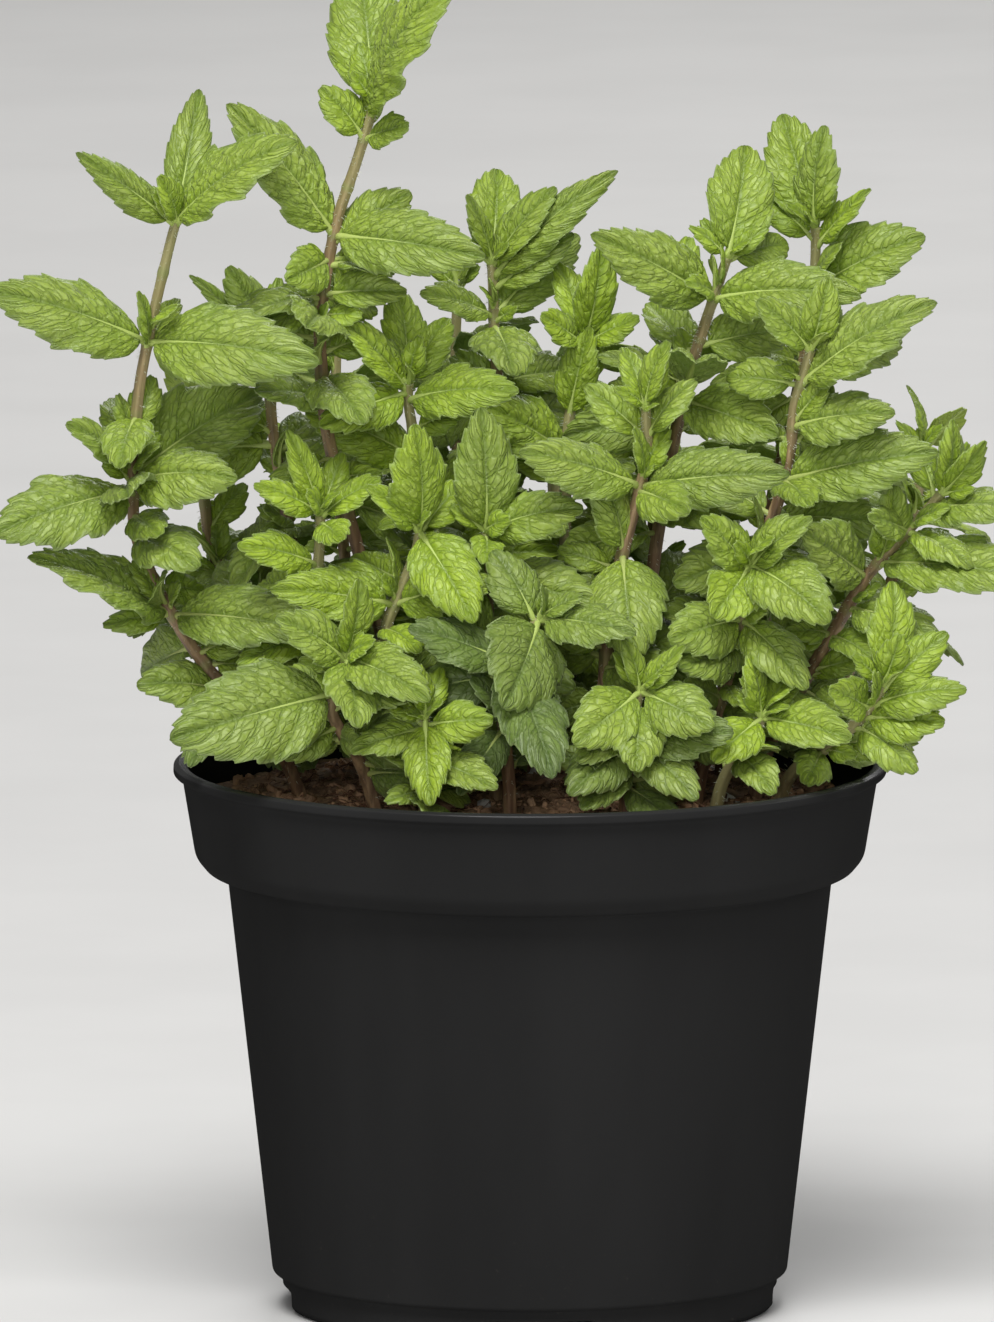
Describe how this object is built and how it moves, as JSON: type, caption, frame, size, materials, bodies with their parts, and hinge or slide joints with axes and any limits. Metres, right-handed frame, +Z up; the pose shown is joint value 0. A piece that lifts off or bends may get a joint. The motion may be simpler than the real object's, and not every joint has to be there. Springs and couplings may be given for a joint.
{
  "type": "potted mint plant",
  "caption": "Bushy mint plant with toothed, wrinkled leaves in opposite pairs on square stems, growing in a round black plastic nursery pot.",
  "frame": {"origin": "middle of the pad under the pot, on the surface it stands on", "axes": "+Z up along the pot's axis, the side that faces the viewer at -Y, +X to its right"},
  "size_m": [0.1911, 0.1513, 0.2466],
  "materials": {
    "pot": "satin moulded black plastic",
    "potting_mix": "moist crumbly peat and bark fibre with white grains",
    "foliage": "soft matt leaf with sunken veins, fresh green"
  },
  "bodies": {
    "root": {"pot": "pot", "potting_mix": "potting_mix", "stem_left_tall": "foliage", "stem_centre_left_tall": "foliage", "stem_left_inner": "foliage", "stem_centre_tuft": "foliage", "stem_centre_light": "foliage", "stem_left_small": "foliage", "stem_centre_back": "foliage", "stem_centre_upright": "foliage", "stem_right_tall_near": "foliage", "stem_right_tall_far": "foliage", "stem_right_front": "foliage", "stem_centre_right": "foliage", "stem_centre_low": "foliage", "stem_right_leaning": "foliage", "stem_right_low": "foliage", "stem_right_middle": "foliage", "stem_front_left": "foliage", "stem_front_centre_left": "foliage", "stem_front_centre": "foliage", "stem_front_right": "foliage", "stem_front_right_rim": "foliage", "stem_left_far": "foliage", "stem_back_left": "foliage", "stem_back_centre_left": "foliage", "stem_back_centre": "foliage", "stem_back_centre_right": "foliage", "stem_back_right": "foliage", "stem_right_far": "foliage"}
  },
  "joints": []
}
